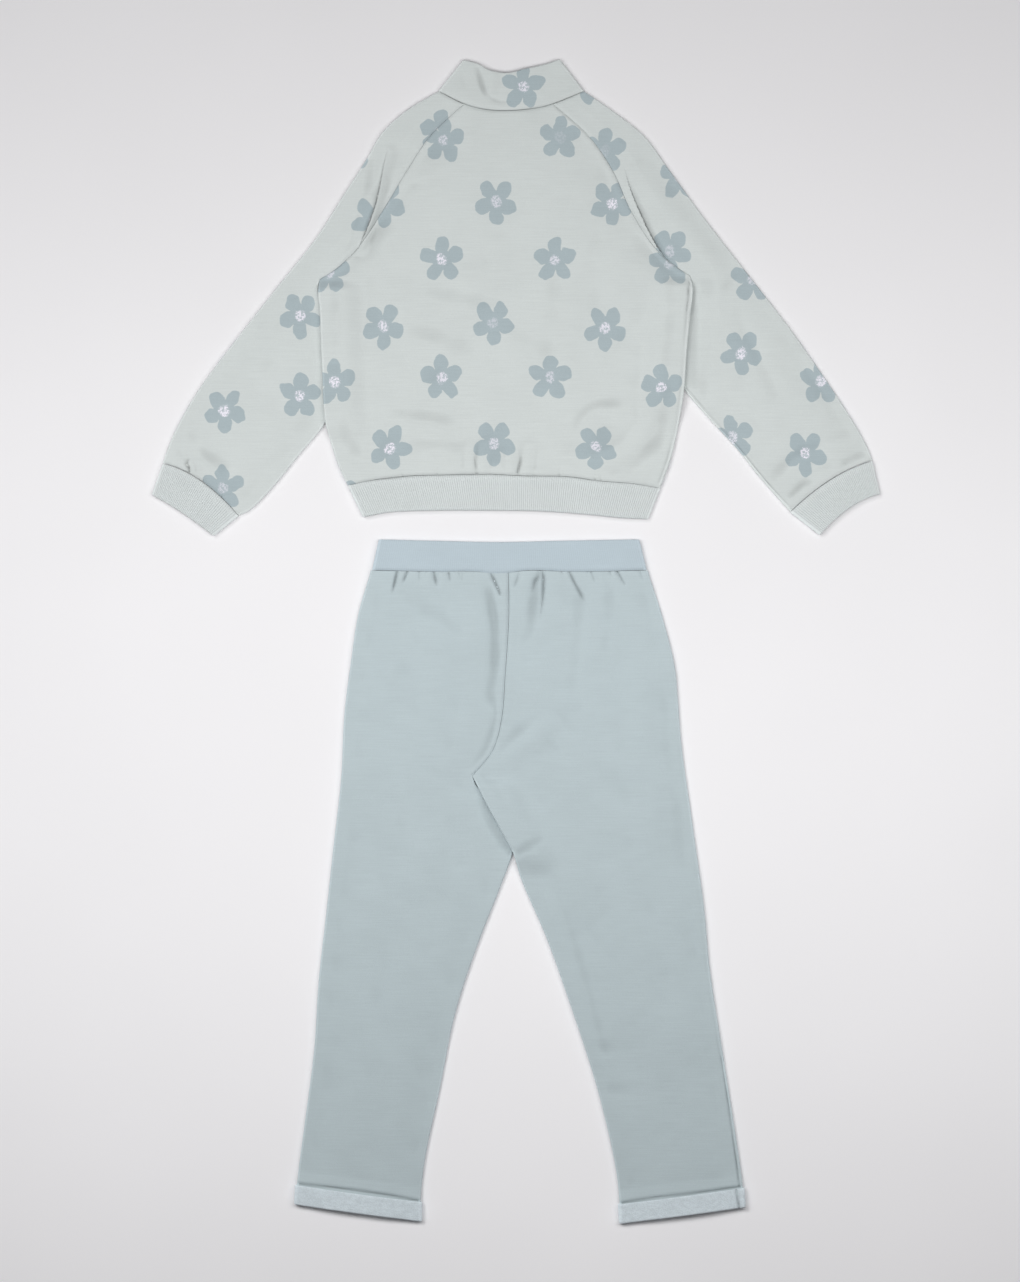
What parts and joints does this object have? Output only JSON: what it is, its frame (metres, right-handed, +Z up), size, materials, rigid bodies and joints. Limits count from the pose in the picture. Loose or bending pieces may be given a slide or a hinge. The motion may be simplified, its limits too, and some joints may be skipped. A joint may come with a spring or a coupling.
{
  "type": "child's tracksuit laid flat",
  "caption": "Child's tracksuit laid flat with its back up: raglan sweatshirt with stand collar and ribbed cuffs above pull-on trousers with turned-up hems.",
  "frame": {"origin": "middle of the set's underside, on the surface that it lies on", "axes": "+Z up from the surface, +Y towards the collar, +X to the right of someone looking down with the collar away from them"},
  "size_m": [0.7644, 1.2214, 0.0113],
  "materials": {
    "printed_fleece": "soft loopback fleece, pale sage with a grey-teal five-petal print",
    "rib_knit": "fine pale sage rib knit",
    "plain_fleece": "soft plain fleece, pale blue-grey",
    "fleece_wrong_side": "brushed wrong side of the fleece, lighter and fuzzy"
  },
  "bodies": {
    "root": {"body_back": "printed_fleece", "body_front": "printed_fleece", "sleeve_left": "printed_fleece", "sleeve_right": "printed_fleece", "collar": "printed_fleece", "cuff_left": "rib_knit", "cuff_right": "rib_knit", "hem_band": "rib_knit", "waistband": "plain_fleece", "leg_back_left": "plain_fleece", "leg_back_right": "plain_fleece", "leg_front_left": "plain_fleece", "leg_front_right": "plain_fleece", "turnup_left": "fleece_wrong_side", "turnup_right": "fleece_wrong_side"}
  },
  "joints": []
}
